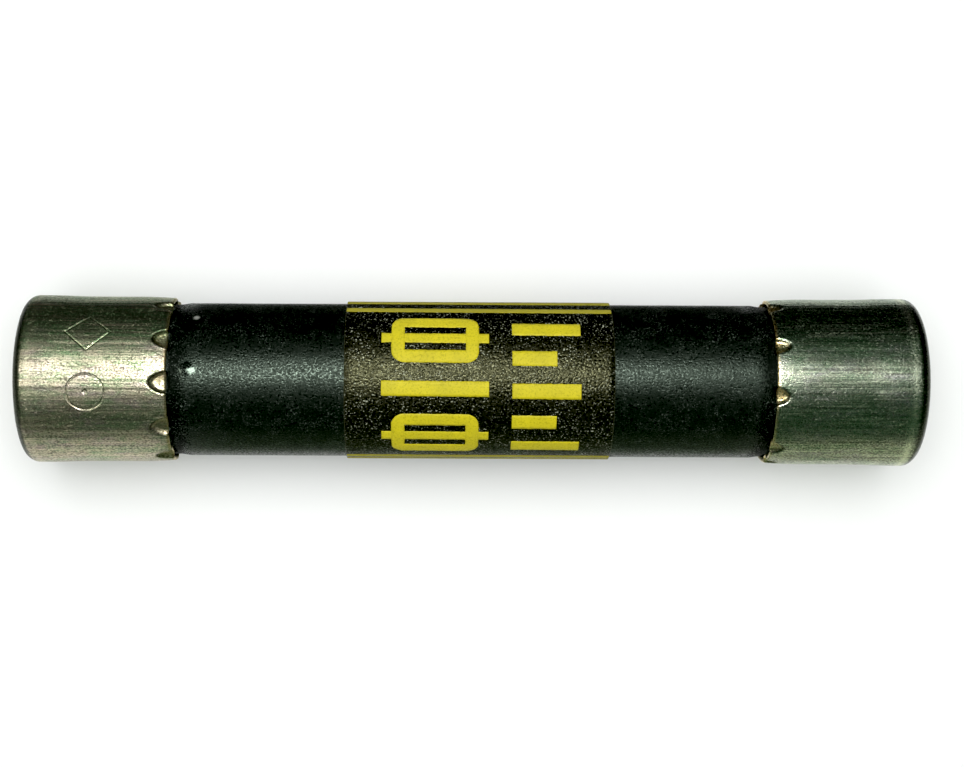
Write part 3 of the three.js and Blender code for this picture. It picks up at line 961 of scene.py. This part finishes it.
def dress_inner_nodes():
    """Materials for the pieces inside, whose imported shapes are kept."""
    link = grainy_material("link_metal", (0.75, 0.72, 0.66), (0.6, 0.56, 0.48), 0.1, 0.3, 1.0, 0.004)
    sand = grainy_material("quartz_sand", (0.8, 0.75, 0.65), (0.5, 0.44, 0.36), 0.12, 0.95, 0.0, 0.08)
    cement = grainy_material("cement", (0.6, 0.5, 0.34), (0.42, 0.34, 0.22), 0.15, 0.9, 0.0, 0.03)
    solder = grainy_material("solder", (0.66, 0.67, 0.68), (0.5, 0.51, 0.52), 0.4, 0.35, 1.0, 0.02)
    washer = grainy_material("washer_fibre", (0.5, 0.3, 0.19), (0.36, 0.2, 0.12), 0.1, 0.85, 0.0, 0.02)
    looks = {"fusible_link": link, "sand_filler": sand}
    for side in ("left", "right"):
        looks[f"cap_cement_{side}"] = cement
        looks[f"solder_{side}"] = solder
        looks[f"end_washer_{side}"] = washer
    for name, material in looks.items():
        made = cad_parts[name]
        made.data.materials.clear()
        made.data.materials.append(material)


# ------------------------------------------------------------------ studio

CAMERA_HEIGHT = 64.27 * MM
CAMERA_X = -1.2 * MM
CAMERA_Y = -0.12 * MM
CAMERA_ROLL = 0.27
CAMERA_LENS = 65.0
CAMERA_SHIFT_X = 0.04606
FLOOR_HALF = 1.5
WALL_RADIUS = 1.4
WALL_HEIGHT = 1.6
WALL_CORNERS = 64


def studio_mesh(name, points, faces, material):
    """A mesh object that doesn't ride on the fuse."""
    mesh = bpy.data.meshes.new(name)
    mesh.from_pydata(points, [], faces)
    mesh.materials.append(material)
    made = bpy.data.objects.new(name, mesh)
    bpy.context.scene.collection.objects.link(made)
    return made


def make_floor():
    """A wide pale floor under the fuse."""
    signs = ((-1, -1), (1, -1), (1, 1), (-1, 1))
    corners = [(FLOOR_HALF * a, FLOOR_HALF * b, -CAP_RADIUS) for a, b in signs]
    floor = studio_mesh("floor", corners, [(0, 1, 2, 3)], floor_material())


def make_light(name, place_mm, size_mm, watts, colour=(1, 1, 1), diffuse=True, glossy=True):
    """A soft square light that faces the fuse."""
    data = bpy.data.lights.new(name, "AREA")
    data.size = size_mm * MM
    data.energy = watts
    data.color = colour
    light = bpy.data.objects.new(name, data)
    light.location = Vector(place_mm) * MM
    light.rotation_euler = (-light.location).to_track_quat("-Z", "Y").to_euler()
    light.visible_camera = False
    light.visible_diffuse = diffuse
    light.visible_glossy = glossy
    bpy.context.scene.collection.objects.link(light)


def make_wash():
    """Even light from above, as soft as an overcast sky, that the shine doesn't show."""
    data = bpy.data.lights.new("wash", "SUN")
    data.energy = 2.75
    data.angle = math.radians(75)
    light = bpy.data.objects.new("wash", data)
    light.visible_glossy = False
    bpy.context.scene.collection.objects.link(light)


def make_backdrop():
    """A pale wall round the floor's edge, seen only by the camera."""
    material, tree, shader = new_material("pale_wall")
    feed(tree, shader.inputs["Base Color"], (0, 0, 0, 1))
    feed(tree, shader.inputs["Emission Color"], (0.74, 0.76, 0.745, 1))
    feed(tree, shader.inputs["Emission Strength"], 1.0)
    count = WALL_CORNERS
    turns = [2 * math.pi * k / count for k in range(count)]
    ring = [(WALL_RADIUS * math.cos(turn), WALL_RADIUS * math.sin(turn)) for turn in turns]
    points = [(x, y, z) for z in (-CAP_RADIUS, WALL_HEIGHT) for x, y in ring]
    faces = [(k, (k + 1) % count, count + (k + 1) % count, count + k) for k in range(count)]
    wall = studio_mesh("backdrop", points, faces, material)
    wall.visible_diffuse = False
    wall.visible_glossy = False
    wall.visible_shadow = False


def make_card(name, colour, low_x, high_x, y, top):
    """A card that stands beside the fuse and is seen only in its shine. Places are in millimetres."""
    material, tree, shader = new_material(name)
    feed(tree, shader.inputs["Base Color"], (*colour, 1))
    feed(tree, shader.inputs["Roughness"], 1.0)
    low_x, high_x, y, top = (length * MM for length in (low_x, high_x, y, top))
    corners = [(low_x, y, -CAP_RADIUS), (high_x, y, -CAP_RADIUS), (high_x, y, top), (low_x, y, top)]
    card = studio_mesh(name, corners, [(0, 1, 2, 3)], material)
    card.visible_camera = False
    card.visible_diffuse = False
    card.visible_shadow = False


def make_world():
    """Dim room, faintly green."""
    world = bpy.data.worlds.new("studio")
    bpy.context.scene.world = world
    world.use_nodes = True
    world.node_tree.nodes["Background"].inputs["Color"].default_value = (0.028, 0.06, 0.034, 1)


def make_camera():
    """Straight above the label."""
    data = bpy.data.cameras.new("camera")
    data.lens = CAMERA_LENS
    data.sensor_width = 36
    data.clip_start = 1 * MM
    data.clip_end = 5
    data.shift_x = CAMERA_SHIFT_X
    camera = bpy.data.objects.new("camera", data)
    camera.location = (CAMERA_X, CAMERA_Y, CAMERA_HEIGHT)
    camera.rotation_euler = (0, 0, math.radians(CAMERA_ROLL))
    bpy.context.scene.collection.objects.link(camera)
    bpy.context.scene.camera = camera


def make_studio():
    """Floor, wall, cards, lights, world and camera."""
    make_floor()
    make_backdrop()
    make_card("black_card", (0.004, 0.004, 0.004), -40, 40, 6.2, 5)
    make_card("grey_card", (0.3, 0.33, 0.28), -10.4, 10.4, 4, -0.5)
    make_card("green_card", (0.45, 0.58, 0.38), -11.2, 10.6, -5.6, 2.2)
    make_card("white_card", (0.82, 0.85, 0.72), 10.6, 40, -5.6, 2.2)
    make_world()
    make_light("key", (-5, 12.5, 65), 20, 0.044, (0.93, 0.94, 1.0), diffuse=False)
    make_light("side", (-50, 6, 60), 25, 0.014, diffuse=False)
    make_light("right_key", (26, 12.5, 62), 12, 0.001, (0.93, 0.96, 1.0), diffuse=False)
    make_light("soft_key", (-5, 30, 90), 80, 0.04, glossy=False)
    make_wash()
    make_camera()


def set_tone():
    """Plain display colours, with the deepest shades taken down to black."""
    view = bpy.context.scene.view_settings
    view.view_transform = "Standard"
    view.use_curve_mapping = True
    view.curve_mapping.black_level = (0.006, 0.006, 0.006)
    view.curve_mapping.update()


# ------------------------------------------------------------------ build

make_caps()
make_tube()
make_label()
make_print()
dress_inner_nodes()
make_studio()
set_tone()
